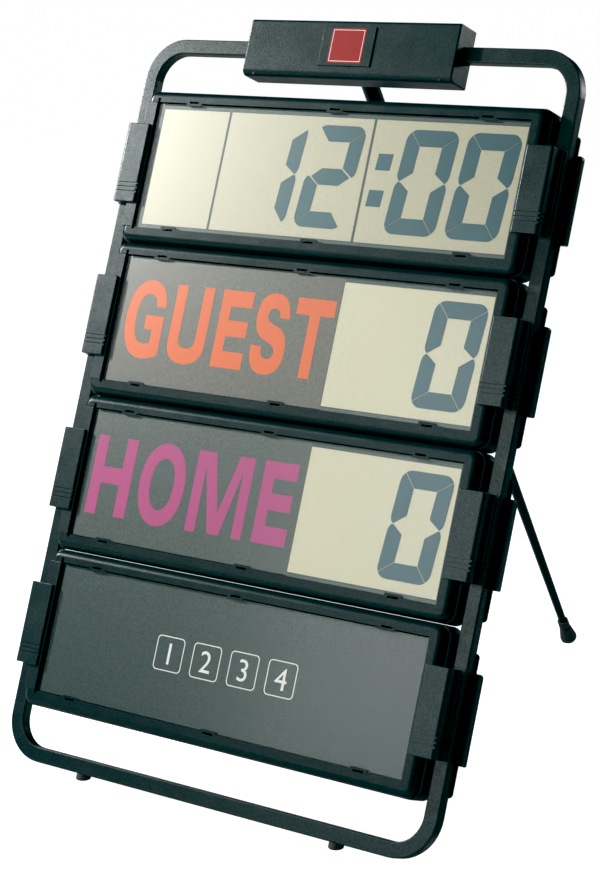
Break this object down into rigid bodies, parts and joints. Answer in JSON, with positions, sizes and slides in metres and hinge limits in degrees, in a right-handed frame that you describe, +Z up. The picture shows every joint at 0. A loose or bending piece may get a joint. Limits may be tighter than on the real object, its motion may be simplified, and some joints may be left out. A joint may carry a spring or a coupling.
{
  "type": "electronic scoreboard",
  "caption": "Free-standing electronic scoreboard: liquid-crystal clock and score modules and a blank panel latched into an easel frame with a carrying handle box and a folding rear leg.",
  "frame": {"origin": "on the floor, under the middle of the object's bounding box, 350 mm behind the soles of the front feet", "axes": "+Z up, +X to the right of a person who faces the display, +Y to the back, where the leg stands; the board leans back 19.5 degrees from the vertical"},
  "size_m": [0.53, 0.715, 0.7382],
  "materials": {
    "bracket_metal": "black coated pressing",
    "button_grey": "satin moulding",
    "card_cool_grey": "printed card",
    "card_dark": "printed card",
    "card_warm_grey": "printed card",
    "cell_jacket": "plain wrapped cell",
    "circuit_board": "solder-masked laminate",
    "frame_metal": "textured charcoal powder coat",
    "handle_plastic": "fine-textured charcoal moulding",
    "housing_front": "fine-textured charcoal moulding",
    "housing_rear": "fine-textured charcoal moulding",
    "label_red": "plate with a plain red blank label",
    "latch_plastic": "fine-textured charcoal moulding",
    "lcd_glass": "reflective liquid-crystal panel, warm beige",
    "leg_metal": "textured charcoal powder coat",
    "lens_clear": "clear polished sheet",
    "pin_steel": "turned steel",
    "rubber_black": "moulded rubber",
    "screw_steel": "blackened steel",
    "sounder_black": "gloss moulding"
  },
  "bodies": {
    "board": {"battery_cells": "cell_jacket", "bracket_screws": "screw_steel", "control_board": "circuit_board", "frame_channel": "frame_metal", "frame_feet": "rubber_black", "frame_front_strip": "frame_metal", "guest_bezel": "housing_front", "guest_card": "card_warm_grey", "guest_driver_board": "circuit_board", "guest_end_cap": "housing_front", "guest_lcd_panel": "lcd_glass", "guest_lens": "lens_clear", "guest_rear_case": "housing_rear", "handle_front_shell": "handle_plastic", "handle_rear_cover": "handle_plastic", "handle_screws": "screw_steel", "home_bezel": "housing_front", "home_card": "card_cool_grey", "home_driver_board": "circuit_board", "home_end_cap": "housing_front", "home_lcd_panel": "lcd_glass", "home_lens": "lens_clear", "home_rear_case": "housing_rear", "label_plate": "label_red", "latch_strikers": "latch_plastic", "leg_bracket": "bracket_metal", "leg_pivot_pin": "pin_steel", "link_port_covers": "rubber_black", "lower_bezel": "housing_front", "lower_card": "card_dark", "lower_end_cap": "housing_front", "lower_lens": "lens_clear", "lower_rear_case": "housing_rear", "module_screws": "screw_steel", "sounder": "sounder_black", "striker_screws": "screw_steel", "timer_bezel": "housing_front", "timer_driver_board": "circuit_board", "timer_end_cap": "housing_front", "timer_lcd_panels": "lcd_glass", "timer_lens": "lens_clear", "timer_rear_case": "housing_rear"},
    "leg": {"leg_tube": "leg_metal", "leg_tip": "rubber_black"},
    "timer_latch_left": {"timer_latch_left": "latch_plastic"},
    "timer_latch_right": {"timer_latch_right": "latch_plastic"},
    "guest_latch_left": {"guest_latch_left": "latch_plastic"},
    "guest_latch_right": {"guest_latch_right": "latch_plastic"},
    "home_latch_left": {"home_latch_left": "latch_plastic"},
    "home_latch_right": {"home_latch_right": "latch_plastic"},
    "lower_latch_left": {"lower_latch_left": "latch_plastic"},
    "lower_latch_right": {"lower_latch_right": "latch_plastic"},
    "button_clock_run": {"button_clock_run": "button_grey"},
    "button_clock_set": {"button_clock_set": "button_grey"},
    "button_guest_up": {"button_guest_up": "button_grey"},
    "button_guest_down": {"button_guest_down": "button_grey"},
    "button_home_up": {"button_home_up": "button_grey"},
    "button_home_down": {"button_home_down": "button_grey"},
    "power_switch": {"power_switch": "button_grey"},
    "battery_door": {"battery_door": "handle_plastic"}
  },
  "joints": [
    {"name": "leg_fold", "type": "hinge", "parent": "board", "child": "leg", "pos_m": [0, -0.08536, 0.68381], "axis": [1, 0, 0], "range_deg": [-51.5, 0]},
    {"name": "timer_latch_left_slide", "type": "slide", "parent": "board", "child": "timer_latch_left", "axis": [0, -0.3338, -0.9426], "range_m": [0, 0.012]},
    {"name": "timer_latch_right_slide", "type": "slide", "parent": "board", "child": "timer_latch_right", "axis": [0, -0.3338, -0.9426], "range_m": [0, 0.012]},
    {"name": "guest_latch_left_slide", "type": "slide", "parent": "board", "child": "guest_latch_left", "axis": [0, -0.3338, -0.9426], "range_m": [0, 0.012]},
    {"name": "guest_latch_right_slide", "type": "slide", "parent": "board", "child": "guest_latch_right", "axis": [0, -0.3338, -0.9426], "range_m": [0, 0.012]},
    {"name": "home_latch_left_slide", "type": "slide", "parent": "board", "child": "home_latch_left", "axis": [0, -0.3338, -0.9426], "range_m": [0, 0.012]},
    {"name": "home_latch_right_slide", "type": "slide", "parent": "board", "child": "home_latch_right", "axis": [0, -0.3338, -0.9426], "range_m": [0, 0.012]},
    {"name": "lower_latch_left_slide", "type": "slide", "parent": "board", "child": "lower_latch_left", "axis": [0, -0.3338, -0.9426], "range_m": [0, 0.012]},
    {"name": "lower_latch_right_slide", "type": "slide", "parent": "board", "child": "lower_latch_right", "axis": [0, -0.3338, -0.9426], "range_m": [0, 0.012]},
    {"name": "button_clock_run_press", "type": "slide", "parent": "board", "child": "button_clock_run", "axis": [0, -0.9426, 0.3338], "range_m": [0, 0.0015], "stiffness_N_per_m": 400, "springref_m": -0.0015},
    {"name": "button_clock_set_press", "type": "slide", "parent": "board", "child": "button_clock_set", "axis": [0, -0.9426, 0.3338], "range_m": [0, 0.0015], "stiffness_N_per_m": 400, "springref_m": -0.0015},
    {"name": "button_guest_up_press", "type": "slide", "parent": "board", "child": "button_guest_up", "axis": [0, -0.9426, 0.3338], "range_m": [0, 0.0015], "stiffness_N_per_m": 400, "springref_m": -0.0015},
    {"name": "button_guest_down_press", "type": "slide", "parent": "board", "child": "button_guest_down", "axis": [0, -0.9426, 0.3338], "range_m": [0, 0.0015], "stiffness_N_per_m": 400, "springref_m": -0.0015},
    {"name": "button_home_up_press", "type": "slide", "parent": "board", "child": "button_home_up", "axis": [0, -0.9426, 0.3338], "range_m": [0, 0.0015], "stiffness_N_per_m": 400, "springref_m": -0.0015},
    {"name": "button_home_down_press", "type": "slide", "parent": "board", "child": "button_home_down", "axis": [0, -0.9426, 0.3338], "range_m": [0, 0.0015], "stiffness_N_per_m": 400, "springref_m": -0.0015},
    {"name": "power_switch_slide", "type": "slide", "parent": "board", "child": "power_switch", "axis": [1, 0, 0], "range_m": [0, 0.004]},
    {"name": "battery_door_slide", "type": "slide", "parent": "board", "child": "battery_door", "axis": [0, 0.3338, 0.9426], "range_m": [0, 0.014]}
  ]
}
